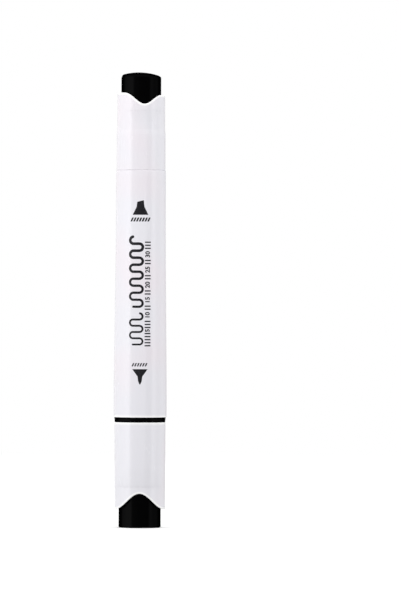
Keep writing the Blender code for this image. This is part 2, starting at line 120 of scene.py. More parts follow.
def rounded_bar_points(width, depth, corner, count):
    """Evenly spaced points round a rectangle with rounded corners, centred on the origin."""
    arcs = []
    for quarter, (sx, sy) in enumerate([(1, 1), (-1, 1), (-1, -1), (1, -1)]):
        centre = np.array([sx * (width / 2 - corner), sy * (depth / 2 - corner)])
        angles = np.radians(90 * quarter + np.linspace(0, 90, 13))
        arcs += [centre + corner * np.array([math.cos(a), math.sin(a)]) for a in angles]
    loop = np.array(arcs + arcs[:1])
    lengths = np.concatenate([[0], np.cumsum(np.linalg.norm(np.diff(loop, axis=0), axis=1))])
    wanted = np.linspace(0, lengths[-1], count, endpoint=False)
    return np.column_stack([np.interp(wanted, lengths, loop[:, k]) for k in (0, 1)])


def rounded_bar_radius(width, depth, corner):
    """The radius, at each angle, of a rectangle with rounded corners."""
    half = np.array([width / 2, depth / 2])

    def radius(angles):
        ray = np.abs(np.column_stack([np.cos(angles), np.sin(angles)]))
        straight = np.min(half / np.maximum(ray, 1e-9), axis=1)
        centre = half - corner
        along = ray @ centre
        inside = np.maximum(along**2 - centre @ centre + corner**2, 0)
        in_corner = np.all(straight[:, None] * ray > centre, axis=1)
        return np.where(in_corner, along + np.sqrt(inside), straight)

    return radius


# Meshes


def make_object(name, rows, closed):
    """A smooth mesh through rows of points. A row of one point is a pole.

    A closed mesh also joins its last row to its first.
    """
    counts = [len(row) for row in rows]
    starts = [sum(counts[:i]) for i in range(len(rows))]
    pairs = list(zip(range(len(rows)), range(1, len(rows))))
    if closed:
        pairs.append((len(rows) - 1, 0))
    faces = []
    for a, b in pairs:
        around = max(counts[a], counts[b])
        for i in range(around):
            j = (i + 1) % around
            below = [starts[a] + i, starts[a] + j] if counts[a] > 1 else [starts[a]]
            above = [starts[b] + j, starts[b] + i] if counts[b] > 1 else [starts[b]]
            faces.append(below + above)
    data = bpy.data.meshes.new(name)
    data.from_pydata((np.concatenate(rows) * MM).tolist(), [], faces)
    return add_mesh(name, data)


def add_mesh(name, data):
    """Puts mesh data in the scene, faces outward, smooth apart from its sharp edges."""
    mesh = bmesh.new()
    mesh.from_mesh(data)
    bmesh.ops.recalc_face_normals(mesh, faces=mesh.faces)
    mesh.to_mesh(data)
    mesh.free()
    data.shade_smooth()
    data.set_sharp_from_angle(angle=math.radians(SHARP_ANGLE))
    obj = bpy.data.objects.new(name, data)
    bpy.context.scene.collection.objects.link(obj)
    return obj


def turned_row(radius, height, count):
    """One ring of a turned piece, or its pole. The radius is a number or a function of the angles."""
    angles = np.linspace(0, 2 * math.pi, count, endpoint=False)
    if callable(radius):
        radius = radius(angles)
    elif radius == 0:
        return np.array([[0.0, 0.0, height]])
    return np.column_stack([radius * np.cos(angles), radius * np.sin(angles), np.full(count, height)])


def turned(name, points, count, closed, reshape=None):
    """A piece turned about the axis from points (radius, height). reshape may then move each ring."""
    rows = [turned_row(radius, height, count) for radius, height in points]
    if reshape:
        rows = [reshape(row) for row in rows]
    return make_object(name, rows, closed)


def place(obj, node, body, slot):
    """The piece stands for its CAD node, moves with that node's body and takes its finish."""
    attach(obj, body)
    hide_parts(node)
    obj.data.materials.append(MATERIALS[slot]())


def put_in_cap_frame(obj, mouth, turn=0.0, flipped=False):
    """Moves a cap piece, drawn with its mouth at height 0, to its place on the marker."""
    flip = Matrix.Rotation(math.pi if flipped else 0.0, 4, "X")
    move = Matrix.Translation((0, 0, mouth * MM)) @ flip @ Matrix.Rotation(turn, 4, "Z")
    obj.data.transform(move)


def roughen(obj, lumps, depth, above, below):
    """Moves the surface in and out by noise, between two heights. All sizes are in millimetres.

    lumps is how long the noise's lumps are in x, y and z.
    """
    data = obj.data
    points, normals = np.empty(3 * len(data.vertices)), np.empty(3 * len(data.vertices))
    data.vertices.foreach_get("co", points)
    data.vertices.foreach_get("normal", normals)
    points, normals = points.reshape(-1, 3), normals.reshape(-1, 3)
    amounts = np.zeros(len(points))
    for i, (x, y, z) in enumerate(points / MM):
        if above < z < below:
            amounts[i] = noise.fractal(Vector((x / lumps[0], y / lumps[1], z / lumps[2])), 0.8, 2.1, 3)
    points += normals * (amounts * depth * MM)[:, None]
    data.vertices.foreach_set("co", points.ravel())
    data.update()


# Materials: small helpers, then one function for each material slot and one for the print


def add_node(tree, kind, inputs=None, **settings):
    """A new node. An input is a value, or another node's output that is then linked to it."""
    made = tree.nodes.new(kind)
    for key, value in settings.items():
        setattr(made, key, value)
    for key, value in (inputs or {}).items():
        if isinstance(value, bpy.types.NodeSocket):
            tree.links.new(value, made.inputs[key])
        else:
            made.inputs[key].default_value = value
    return made


def object_point(tree, stretch=(1, 1, 1), turn=(0, 0, 0)):
    """The shaded point in the piece's own frame, in metres, stretched and turned for a texture."""
    where = add_node(tree, "ShaderNodeTexCoord").outputs["Object"]
    mapping = add_node(tree, "ShaderNodeMapping", {"Vector": where, "Scale": stretch, "Rotation": turn})
    return mapping.outputs["Vector"]


def height_on_marker(tree):
    """The shaded point's height on the closed marker, in metres."""
    return add_node(tree, "ShaderNodeSeparateXYZ", {"Vector": object_point(tree)}).outputs["Z"]


def grain(tree, size, detail=3.0, stretch=(1, 1, 1), turn=(0, 0, 0)):
    """Noise between 0 and 1 with lumps of this size in millimetres."""
    point = object_point(tree, stretch, turn)
    inputs = {"Vector": point, "Scale": 1 / (size * MM), "Detail": detail, "Roughness": 0.55}
    return add_node(tree, "ShaderNodeTexNoise", inputs).outputs["Fac"]


def spread(tree, value, low_in, high_in, low_out, high_out):
    """Maps a value from one range to another, and holds it inside the second."""
    inputs = {
        "Value": value,
        "From Min": low_in,
        "From Max": high_in,
        "To Min": low_out,
        "To Max": high_out,
    }
    return add_node(tree, "ShaderNodeMapRange", inputs).outputs["Result"]


def maths(tree, operation, a, b=0.0):
    return add_node(tree, "ShaderNodeMath", {0: a, 1: b}, operation=operation).outputs[0]


def blend_value(tree, share, first, second):
    """Goes from the first number to the second as the share goes from 0 to 1."""
    return add_node(tree, "ShaderNodeMix", {0: share, 2: first, 3: second}, data_type="FLOAT").outputs[0]


def blend_colour(tree, share, first, second):
    """Goes from the first colour to the second as the share goes from 0 to 1."""
    made = add_node(tree, "ShaderNodeMix", data_type="RGBA")
    for index, value in ((0, share), (6, first), (7, second)):
        if isinstance(value, bpy.types.NodeSocket):
            tree.links.new(value, made.inputs[index])
        else:
            made.inputs[index].default_value = value if index == 0 else (*value, 1.0)
    return made.outputs[2]


def bumped(tree, height, depth, below=None):
    """A surface normal raised by a height between 0 and 1, depth in millimetres at full height."""
    inputs = {"Height": height, "Strength": 1.0, "Distance": depth * MM}
    if below:
        inputs["Normal"] = below
    return add_node(tree, "ShaderNodeBump", inputs).outputs["Normal"]


def hairlines(tree, size, width, turn):
    """Thin lines where stretched noise crosses its middle value, kept in sparse patches."""
    lines = grain(tree, size, 1.0, stretch=(1, 1, 0.08), turn=turn)
    off_line = maths(tree, "ABSOLUTE", maths(tree, "SUBTRACT", lines, 0.5))
    line = spread(tree, off_line, 0.0, width, 1.0, 0.0)
    patch = spread(tree, grain(tree, size * 2.5, 2.0), 0.55, 0.61, 0.0, 1.0)
    return maths(tree, "MULTIPLY", line, patch)


def turned_away(tree):
    """0 where the surface faces the viewer, 1 where it is seen edge on."""
    return add_node(tree, "ShaderNodeLayerWeight", {"Blend": 0.5}).outputs["Facing"]


def faint_gloss(tree):
    """The specular level of deep black plastic: a trace of reflection in front, and none at the edges."""
    return spread(tree, turned_away(tree), 0.20, 0.50, 0.018, 0.0)


def scratched(tree, size, width):
    """Handling scratches, 1 on a scratch and 0 off it: three layers of hairlines that cross."""
    turns = [(0.5, 0.2, 0.0), (1.35, 0.4, 0.7), (-0.9, 1.0, 0.3)]
    first, second, third = (hairlines(tree, size, width, turn) for turn in turns)
    return maths(tree, "MAXIMUM", maths(tree, "MAXIMUM", first, second), third)


def new_material(name, inputs):
    """A material with one Principled BSDF. Returns it with its tree and its shader."""
    made = bpy.data.materials.new(name)
    made.use_nodes = True
    shader = made.node_tree.nodes["Principled BSDF"]
    for key, value in inputs.items():
        shader.inputs[key].default_value = value
    return made, made.node_tree, shader


def connect(tree, shader, **sockets):
    """Links sockets to the shader's inputs, named with _ for each space."""
    for key, socket in sockets.items():
        tree.links.new(socket, shader.inputs[key.replace("_", " ")])


def connect_moulding(tree, shader, colour, roughness, scratch, peel):
    """Links what the hard plastics share: a colour, and a surface with orange peel and scratches.

    scratch is (the scratches, how much rougher they are, their depth). peel is (size, depth) of the
    orange peel. Sizes and depths are in millimetres.
    """
    lines, rougher, scratch_depth = scratch
    peel_size, peel_depth = peel
    roughness = maths(tree, "ADD", roughness, maths(tree, "MULTIPLY", lines, rougher))
    normal = bumped(tree, grain(tree, peel_size, 2.0), peel_depth)
    normal = bumped(tree, maths(tree, "SUBTRACT", 1.0, lines), scratch_depth, normal)
    connect(tree, shader, Base_Color=colour, Roughness=roughness, Normal=normal)


def once(build):
    """Builds a material the first time it is asked for, and hands out the same one after that."""
    kept = []

    def give():
        if not kept:
            kept.append(build())
        return kept[0]

    return give


@once
def white_polypropylene():
    """Satin white moulding: a cool white with faint flow marks and a pink blush in places.

    Along the shells' cut ends, the barrel's foot and the fine cap's mouth it is painted a brighter white,
    stored as the lip attribute: a painted highlight on the edges.
    """
    made, tree, shader = new_material(
        "white_polypropylene",
        {
            "Subsurface Weight": 0.03,
            "Subsurface Radius": (1.0, 0.95, 1.05),
            "Subsurface Scale": 0.35 * MM,
            "IOR": 1.49,
        },
    )
    flow = grain(tree, 11.0, 2.0, stretch=(1, 1, 0.3))
    colour = blend_colour(tree, flow, (0.812, 0.806, 0.855), (0.832, 0.822, 0.868))
    blush = spread(tree, grain(tree, 24.0, 1.0), 0.50, 0.62, 0.0, 1.0)
    colour = blend_colour(tree, blush, colour, (0.842, 0.800, 0.848))
    # painted highlight: where the lip attribute is 1 the colour goes to pure white
    lip = add_node(tree, "ShaderNodeAttribute", attribute_name="lip").outputs["Fac"]
    colour = blend_colour(tree, lip, colour, (1.0, 1.0, 1.0))
    roughness = spread(tree, grain(tree, 4.0, 4.0), 0.35, 0.65, 0.17, 0.22)
    scratch = (scratched(tree, 3.2, 0.006), 0.12, 0.0008)
    connect_moulding(tree, shader, colour, roughness, scratch, peel=(0.7, 0.0022))
    return made


@once
def black_plastic():
    """Deep black moulding with a faint gloss, a few scratches and a trace of dust."""
    made, tree, shader = new_material("black_plastic", {"IOR": 1.49})
    dust = spread(tree, grain(tree, 0.35, 2.0), 0.70, 0.80, 0.0, 1.0)
    colour = blend_colour(tree, grain(tree, 3.0), (0.0004, 0.0004, 0.0005), (0.0010, 0.0010, 0.0012))
    colour = blend_colour(tree, maths(tree, "MULTIPLY", dust, 0.03), colour, (0.25, 0.25, 0.26))
    roughness = spread(tree, grain(tree, 1.8, 4.0), 0.35, 0.65, 0.12, 0.18)
    scratch = (scratched(tree, 2.4, 0.005), 0.16, 0.001)
    connect_moulding(tree, shader, colour, roughness, scratch, peel=(0.6, 0.002))
    connect(tree, shader, Specular_IOR_Level=faint_gloss(tree))
    return made


@once
def charcoal_plastic():
    """Dark grey moulding of the fine nib holder, with ink smears round it. Its flange is painted near
    black: painted shade, as in the dark gap between barrel and cap.
    """
    made, tree, shader = new_material("charcoal_plastic", {"IOR": 1.5})
    smear = grain(tree, 1.2, 4.0, stretch=(1, 1, 3.0))
    colour = blend_colour(tree, smear, (0.022, 0.022, 0.023), (0.034, 0.034, 0.036))
    # painted shade: from here up, the flange's band is painted near black
    painted_shade_foot = (FLANGE - 0.30) * MM
    flange = spread(tree, height_on_marker(tree), painted_shade_foot, painted_shade_foot + 0.10 * MM, 0.0, 1.0)
    colour = blend_colour(tree, flange, colour, (0.0012, 0.0012, 0.0014))
    gloss = spread(tree, turned_away(tree), 0.12, 0.30, 0.60, 0.14)
    gloss = blend_value(tree, flange, gloss, faint_gloss(tree))
    roughness = spread(tree, smear, 0.35, 0.65, 0.18, 0.28)
    scratch = (scratched(tree, 2.0, 0.006), 0.15, 0.001)
    connect_moulding(tree, shader, colour, roughness, scratch, peel=(0.6, 0.002))
    connect(tree, shader, Specular_IOR_Level=gloss)
    return made


@once
def inked_felt():
    """Bonded felt with lengthwise fibres, lighter blotches of painted sheen and dry pale tips.

    Below the barrel, on the fine nib, it is soaked nearly black.
    """
    made, tree, shader = new_material("inked_felt", {"Sheen Roughness": 0.5, "Specular IOR Level": 0.25})
    strands = grain(tree, 0.16, 3.0, stretch=(1, 1, 0.09))
    specks = grain(tree, 0.10, 2.0)
    # painted sheen: lighter blotches, placed at random, in the felt's colour
    sheen_blotches = spread(tree, grain(tree, 1.3, 2.0), 0.40, 0.62, 0.0, 0.5)
    colour = blend_colour(tree, strands, (0.008, 0.008, 0.009), (0.058, 0.058, 0.061))
    colour = blend_colour(tree, sheen_blotches, colour, (0.105, 0.105, 0.108))
    dry = spread(tree, specks, 0.62, 0.72, 0.0, 0.5)
    colour = blend_colour(tree, dry, colour, (0.12, 0.12, 0.125))
    soaked = spread(tree, height_on_marker(tree), FLANGE * MM, BARREL_FOOT * MM, 1.0, 0.0)
    colour = blend_colour(tree, maths(tree, "MULTIPLY", soaked, 0.94), colour, (0.001, 0.001, 0.0012))
    roughness = spread(tree, strands, 0.3, 0.7, 0.75, 0.95)
    normal = bumped(tree, strands, 0.09)
    normal = bumped(tree, specks, 0.03, normal)
    connect(tree, shader, Base_Color=colour, Roughness=roughness, Normal=normal)
    connect(tree, shader, Sheen_Weight=blend_value(tree, soaked, 0.35, 0.04))
    return made


@once
def inked_fibre():
    """The reservoir's bundle: long fine fibres, wet with ink."""
    made, tree, shader = new_material("inked_fibre", {"Coat Weight": 0.3, "Coat Roughness": 0.35})
    strands = grain(tree, 0.25, 4.0, stretch=(1, 1, 0.02))
    pools = grain(tree, 2.5, 3.0, stretch=(1, 1, 0.3))
    colour = blend_colour(tree, strands, (0.008, 0.008, 0.011), (0.065, 0.065, 0.072))
    colour = blend_colour(tree, pools, colour, (0.014, 0.014, 0.019))
    roughness = spread(tree, pools, 0.3, 0.7, 0.45, 0.85)
    connect(tree, shader, Base_Color=colour, Roughness=roughness, Normal=bumped(tree, strands, 0.08))
    return made


@once
def natural_polyethylene():
    """Milky soft plastic of the inner seals, with a faint ink stain and a waxy surface."""
    made, tree, shader = new_material(
        "natural_polyethylene",
        {"Subsurface Weight": 0.6, "Subsurface Radius": (1.0, 1.0, 0.9), "Subsurface Scale": 1.5 * MM},
    )
    wax = grain(tree, 1.5, 3.0)
    stain = spread(tree, grain(tree, 2.2, 4.0), 0.58, 0.75, 0.0, 0.35)
    colour = blend_colour(tree, wax, (0.74, 0.74, 0.70), (0.83, 0.83, 0.80))
    colour = blend_colour(tree, stain, colour, (0.42, 0.42, 0.45))
    roughness = spread(tree, wax, 0.3, 0.7, 0.38, 0.52)
    connect(tree, shader, Base_Color=colour, Roughness=roughness, Normal=bumped(tree, wax, 0.02))
    return made


@once
def clear_film():
    """Thin clear wrap with lengthwise stretch lines."""
    made, tree, shader = new_material("clear_film", {"Transmission Weight": 0.75, "IOR": 1.45})
    lines = grain(tree, 0.8, 2.0, stretch=(1, 1, 0.04))
    colour = blend_colour(tree, lines, (0.86, 0.88, 0.90), (0.94, 0.95, 0.96))
    roughness = spread(tree, lines, 0.3, 0.7, 0.08, 0.22)
    connect(tree, shader, Base_Color=colour, Roughness=roughness, Normal=bumped(tree, lines, 0.02))
    return made


@once
def print_ink():
    """Screen-printed dark ink: slightly uneven, with pinholes where the white shows through."""
    made, tree, shader = new_material("print_ink", {"Specular IOR Level": 0.2})
    uneven = grain(tree, 0.6, 3.0)
    pinholes = spread(tree, grain(tree, 0.09, 1.0), 0.73, 0.77, 0.0, 0.5)
    colour = blend_colour(tree, uneven, (0.004, 0.004, 0.006), (0.012, 0.011, 0.015))
    colour = blend_colour(tree, pinholes, colour, (0.45, 0.45, 0.48))
    roughness = spread(tree, uneven, 0.3, 0.7, 0.42, 0.58)
    connect(tree, shader, Base_Color=colour, Roughness=roughness, Normal=bumped(tree, uneven, 0.004))
    return made


MATERIALS = {
    "white_polypropylene": white_polypropylene,
    "black_plastic": black_plastic,
    "charcoal_plastic": charcoal_plastic,
    "inked_felt": inked_felt,
    "inked_fibre": inked_fibre,
    "natural_polyethylene": natural_polyethylene,
    "clear_film": clear_film,
}


# Painted highlights on edges. Each distance in millimetres is how far from the edge the painted highlight
# reaches.

LIP_ROUND = 0.55                     # on the shells' cut ends, and their rounding
LIP_FADE = 0.75
RIM_BRIGHT = 0.25                    # on the barrel's foot and the fine cap's mouth
RIM_FADE = 1.0


def near(distances, bright, fade):
    """1 for a point this near to an edge, down to 0 where the painted highlight has faded."""
    return np.clip((fade - np.array(distances)) / (fade - bright), 0, 1)


def mark_lip(obj, shares, count):
    """Stores a share for every ring of count points: how strongly the painted edge highlight brightens the
    plastic there.
    """
    lip = obj.data.attributes.new("lip", "FLOAT", "POINT")
    lip.data.foreach_set("value", np.repeat(shares, count))


# The pen's body


def barrel_radius(height):
    """The barrel's outer radius at a height: it slims upwards in a gentle S, then runs straight."""
    share = min(max((height - BARREL_FOOT) / TAPER_LENGTH, 0), 1)
    return BARREL_FOOT_RADIUS - BARREL_TAPER * share * share * (3 - 2 * share)


def bead(radius, rise, start, ramp, flat, rounding):
    """Corners of a ring that stands out from this radius: up a ramp, along its flat and down again."""
    return [
        (radius, start, rounding),
        (radius + rise, start + ramp, rounding),
        (radius + rise, start + ramp + flat, rounding),
        (radius, start + 2 * ramp + flat, rounding),
    ]


BROAD_NECK = 7.15                    # radii of the barrel's neck and nozzle
BROAD_NOZZLE = 4.22
NECK_STEP = SHOULDER + 2.75          # where the neck narrows by a small step
CONE_FOOT = SHOULDER + 4.35
NOZZLE_FOOT = SHOULDER + 11.5
NOZZLE_FLOOR = SHOULDER + 9.7        # how deep the nib's slot goes before the bore widens


def barrel_outside():
    """The barrel's outside, up from its foot to the nozzle's mouth."""
    step, top = 0.15, high("barrel")
    heights = [BARREL_FOOT + RIM_BRIGHT, BARREL_FOOT + RIM_FADE]
    heights += list(np.linspace(BARREL_FOOT + 3, SHOULDER - 2, 14))
    return outline(
        [
            (BARREL_FOOT_RADIUS - 0.6, BARREL_FOOT),
            (BARREL_FOOT_RADIUS, BARREL_FOOT, 0.22),
            *((barrel_radius(height), height) for height in heights),
            (SHOULDER_RADIUS, SHOULDER, 0.22),
            (BROAD_NECK, SHOULDER, 0.10),
            *bead(BROAD_NECK, 0.10, SHOULDER + 0.8, 0.3, 0.4, 0.25),
            (BROAD_NECK, NECK_STEP, 0.08),
            (BROAD_NECK - step, NECK_STEP + 0.08, 0.05),
            (BROAD_NECK - step, CONE_FOOT, 1.6),
            (BROAD_NOZZLE + 0.06, NOZZLE_FOOT, 1.0),
            (BROAD_NOZZLE - 0.10, top, 0.28),
            (BROAD_NOZZLE - 0.60, top),
        ]
    )


def broad_nib_slot():
    """The slot that holds the broad nib, down from the nozzle's mouth, with a bevelled edge."""
    width, depth, corner, bevel, top = 2 * reach("broad_nib") + 0.2, 3.80, 0.55, 0.12, high("barrel")
    mouth = rounded_bar_radius(width + 2 * bevel, depth + 2 * bevel, corner + bevel)
    slot = rounded_bar_radius(width, depth, corner)
    return [(mouth, top), (slot, top - bevel), (slot, NOZZLE_FLOOR)]


def ribbed(bore):
    """A bore with six rounded ribs that centre the reservoir."""

    def radius(angles):
        crest = np.maximum(np.cos(6 * angles), 0) ** 10
        return bore - (bore - RESERVOIR_BORE) * crest

    return radius


def barrel_bore():
    """The barrel's inside, down from the floor of the nozzle to the foot."""
    bore_foot, bore_top = BARREL_FOOT_RADIUS - BARREL_WALL, SHOULDER_RADIUS - BARREL_WALL
    rib_low, rib_high, rib_lead = BARREL_FOOT + 9.5, SHOULDER - 2.2, 0.4
    return [
        (BROAD_NOZZLE - 0.1, NOZZLE_FLOOR),
        (BROAD_NECK - 1.25, SHOULDER + 4.7),
        (RESERVOIR_BORE, SHOULDER + 3.4),
        (RESERVOIR_BORE, SHOULDER - 0.9),
        (bore_top, rib_high),
        (ribbed(bore_top), rib_high - rib_lead),
        (ribbed(bore_foot), rib_low + rib_lead),
        (bore_foot, rib_low),
        (bore_foot, BARREL_FOOT),
    ]


def build_barrel():
    """The white tube with the broad neck, cone and nozzle, a slot for the nib and ribs in its bore."""
    points = barrel_outside() + broad_nib_slot() + barrel_bore()
    barrel = turned("barrel_finished", points, ROUND, closed=True)
    # painted highlight: the barrel's foot is painted a brighter white near its edge
    mark_lip(barrel, near([z - BARREL_FOOT for _, z in points], RIM_BRIGHT, RIM_FADE), ROUND)
    place(barrel, "barrel", "pen_body", "white_polypropylene")


def build_fine_nib_holder():
    """The charcoal insert: skirt, flange, neck with its snap bead, cone, nozzle and tip sleeve."""
    top, end = high("fine_nib_holder"), low("fine_nib_holder")
    flange, neck, nozzle, sleeve = reach("fine_nib_holder"), 6.78, 3.95, 2.57
    skirt = BARREL_FOOT_RADIUS - BARREL_WALL - 0.08
    nib_bore, neck_bore = reach("fine_nib") + 0.1, neck - 1.3
    flange_low, flange_high = high("fine_cap_shell") + HAIRLINE, BARREL_FOOT - HAIRLINE
    neck_end, cone_end, nozzle_end = FLANGE - 3.10, FLANGE - 11.35, FLANGE - 18.0
    corners = [
        (RESERVOIR_BORE + 0.3, top),
        (skirt, top, 0.3),
        (skirt, flange_high, 0.05),
        (flange, flange_high, 0.10),
        (flange - 0.14, flange_low, 0.10),
        (neck, flange_low, 0.10),
        *bead(neck, 0.07, FLANGE - 0.8, -0.3, -0.4, 0.12),
        (neck - 0.12, neck_end, 1.2),
        (nozzle, cone_end, 0.8),
        (nozzle - 0.27, nozzle_end + 0.7, 0.5),
        (nozzle - 0.80, nozzle_end, 0.25),
        (sleeve - 0.12, nozzle_end, 0.08),
        (sleeve - 0.12, nozzle_end - 0.35, 0.05),
        (sleeve, nozzle_end - 0.50, 0.10),
        (sleeve - 0.25, end, 0.30),
        (nib_bore, end, 0.08),
        (nib_bore, nozzle_end + 3.0),
        (2.60, nozzle_end + 3.6),
        (2.75, cone_end - 0.45),
        (neck_bore, neck_end - 0.15),
        (neck_bore, FLANGE + 0.6),
        (RESERVOIR_BORE, FLANGE + 0.6),
        (RESERVOIR_BORE, top),
    ]
    holder = turned("fine_nib_holder_finished", outline(corners), ROUND, closed=True)
    place(holder, "fine_nib_holder", "pen_body", "charcoal_plastic")


def build_broad_nib():
    """The chisel: a felt bar cut on the slant, its writing edges rounded by use and its sides fibrous.

    Its rows of points run from the inner end's middle, up the sides and over the worn edge to the
    writing face's middle.
    """
    width, depth, corner = 2 * reach("broad_nib"), 3.60, 0.5
    top, bottom, slope = high("broad_nib"), low("broad_nib"), math.tan(math.radians(29.0))
    wear, count = 0.42, 220
    fibrous_from = bottom + 22           # just inside the nozzle: what is deeper stays smooth

    def cut_height(loop):
        """The slanted face, highest at +X."""
        return top - (width / 2 - loop[:, 0]) * slope

    side = rounded_bar_points(width, depth, corner, count)
    rim = cut_height(side) - wear
    rows = [np.array([[0.0, 0.0, bottom]])]
    for inset, lift in ((1.2, 0.0), (0.3, 0.0), (0.0, 0.3)):
        loop = rounded_bar_points(width - 2 * inset, depth - 2 * inset, max(corner - inset, 0.1), count)
        rows.append(np.column_stack([loop, np.full(count, bottom + lift)]))
    heights = [*np.linspace(0.05, 0.70, 8), *np.linspace(0.72, 1.0, 56)]
    rows += [np.column_stack([side, bottom + (rim - bottom) * share]) for share in heights]
    for angle in np.radians(np.arange(15, 91, 15)):
        inset = wear * (1 - math.cos(angle))
        loop = rounded_bar_points(width - 2 * inset, depth - 2 * inset, corner - inset, count)
        rows.append(np.column_stack([loop, cut_height(loop) - wear * (1 - math.sin(angle))]))
    for share in np.linspace(0.9, 0.1, 9):
        rows.append(np.column_stack([loop * share, cut_height(loop * share)]))
    rows.append(np.array([[0.0, 0.0, cut_height(np.zeros((1, 2)))[0]]]))
    nib = make_object("broad_nib_finished", rows, closed=False)
    roughen(nib, (0.20, 0.20, 2.2), 0.030, above=fibrous_from, below=top + 1)
    roughen(nib, (0.10, 0.10, 0.14), 0.014, above=fibrous_from, below=top + 1)
    place(nib, "broad_nib", "pen_body", "inked_felt")


def build_fine_nib():
    """The bullet: a felt rod with an ogive point, slightly blunted. Its rings crowd towards the tip."""
    radius, tip, top, point = reach("fine_nib"), low("fine_nib"), high("fine_nib"), 5.3
    points = [(0, tip)]
    for share in np.linspace(0.0, 1.0, 41)[1:] ** 1.6:
        points.append((radius * (1 - (1 - share) ** 2) ** 0.625, tip + share * point))
    points += [(radius, tip + point + step) for step in (0.4, 0.8, 1.2, 1.6, 2.0, 12.0)]
    points += [(radius, top - 0.4), (radius - 0.4, top), (0, top)]
    nib = turned("fine_nib_finished", points, SMALL, closed=False)
    roughen(nib, (0.14, 0.14, 1.2), 0.016, above=tip + 0.2, below=tip + point + 2)
    place(nib, "fine_nib", "pen_body", "inked_felt")


def build_reservoir():
    """The fibre bundle, fluted by its strands, with a pocket for each nib, and the film round it."""
    bottom, top, core = low("reservoir_core"), high("reservoir_core"), reach("reservoir_core")
    gap, strands, flute = 0.3, 48, 0.04
    fine_pocket, fine_end = reach("fine_nib") + gap, high("fine_nib") + gap
    broad_pocket = rounded_bar_radius(2 * (reach("broad_nib") + gap), 4.2, 0.75)
    broad_end = low("broad_nib") - gap
    points = [(0, fine_end), (fine_pocket, fine_end), (fine_pocket, bottom)]
    points += outline([(core - 0.6, bottom), (core, bottom, 0.3), (core, top, 0.3), (core - 0.6, top)])
    points += [(broad_pocket, top), (broad_pocket, broad_end), (0, broad_end)]

    def fluted(row):
        angles = np.arctan2(row[:, 1], row[:, 0])
        on_skin = np.hypot(row[:, 0], row[:, 1]) > core - 0.2
        depth = flute / 2 * (1 + np.cos(strands * angles)) * on_skin
        row[:, :2] *= 1 - (depth / core)[:, None]
        return row

    bundle = turned("reservoir_core_finished", points, ROUND, closed=False, reshape=fluted)
    place(bundle, "reservoir_core", "pen_body", "inked_fibre")
    outer, inner = reach("reservoir_film"), reach("reservoir_film") - 0.2
    low_end, high_end = low("reservoir_film"), high("reservoir_film")
    wall = [(inner, low_end), (outer, low_end), (outer, high_end), (inner, high_end)]
    film = turned("reservoir_film_finished", wall, SMALL, closed=True)
    place(film, "reservoir_film", "pen_body", "clear_film")


# The caps. Each is drawn in its own frame, with its mouth at height 0 and its closed end up. "seam" is
# the gap that the shell leaves at its mouth, "wall" is how its radius changes at heights, "seal" is the
# inner seal's bore, and a wave's heights are those of its lowest and highest points before it is
# slanted. A slant is a rise per millimetre towards the cap's own +X.

BROAD_CAP = {
    "name": "broad_cap",
    "mouth": low("broad_cap_shell"),
    "length": high("broad_cap_end_plug") - low("broad_cap_shell"),
    "seam": HAIRLINE,
    "painted_mouth_highlight": False,
    "wall": [(0.0, 0), (-0.01, 11.6), (-0.16, 13.2), (-0.19, 19.4)],
    "bore": 7.32,
    "plug": reach("broad_cap_end_plug"),
    "wave_width": 12.3,
    "wave_low": 21.63,
    "wave_high": 24.97,
    "wave_slant": -0.060,
    "crown_slant": -0.035,
    "plug_corner": 1.35,
    "dome_radius": 21.0,
    "seal": [(4.35, 12.2), (4.35, 26.35)],
    "turn": BROAD_CAP_TURN,
    "flipped": False,
}
FINE_CAP = {
    "name": "fine_cap",
    "mouth": high("fine_cap_shell"),
    "length": high("fine_cap_shell") - low("fine_cap_end_plug"),
    "seam": CAP_SEAM,
    "painted_mouth_highlight": True,
    "wall": [(0.0, 0), (-0.06, 21.2)],
    "bore": 7.06,
    "plug": reach("fine_cap_end_plug"),
    "wave_width": 16.8,
    "wave_low": 23.40,
    "wave_high": 28.70,
    "wave_slant": 0.0,
    "crown_slant": 0.0,
    "plug_corner": 0.5,
    "dome_radius": None,
    "seal": [(4.05, 12.3), (4.05, 18.7), (2.80, 19.4), (2.80, 29.1)],
    "turn": 0.0,
    "flipped": True,
}
PLUG_SKIRT = 12.0
SEAL_WALL = 0.5


def wave(cap, x):
    """Height and steepness of the shell's cut end at x: a cosine, lowest in the middle, and slanted."""
    phase = np.clip(x / cap["wave_width"], -0.5, 0.5)
    half = (cap["wave_high"] - cap["wave_low"]) / 2
    slant = cap["wave_slant"]
    height = cap["wave_low"] + half * (1 - np.cos(2 * math.pi * phase)) + slant * x
    steepness = half * np.sin(2 * math.pi * phase) * 2 * math.pi / cap["wave_width"] + slant
    return height, steepness


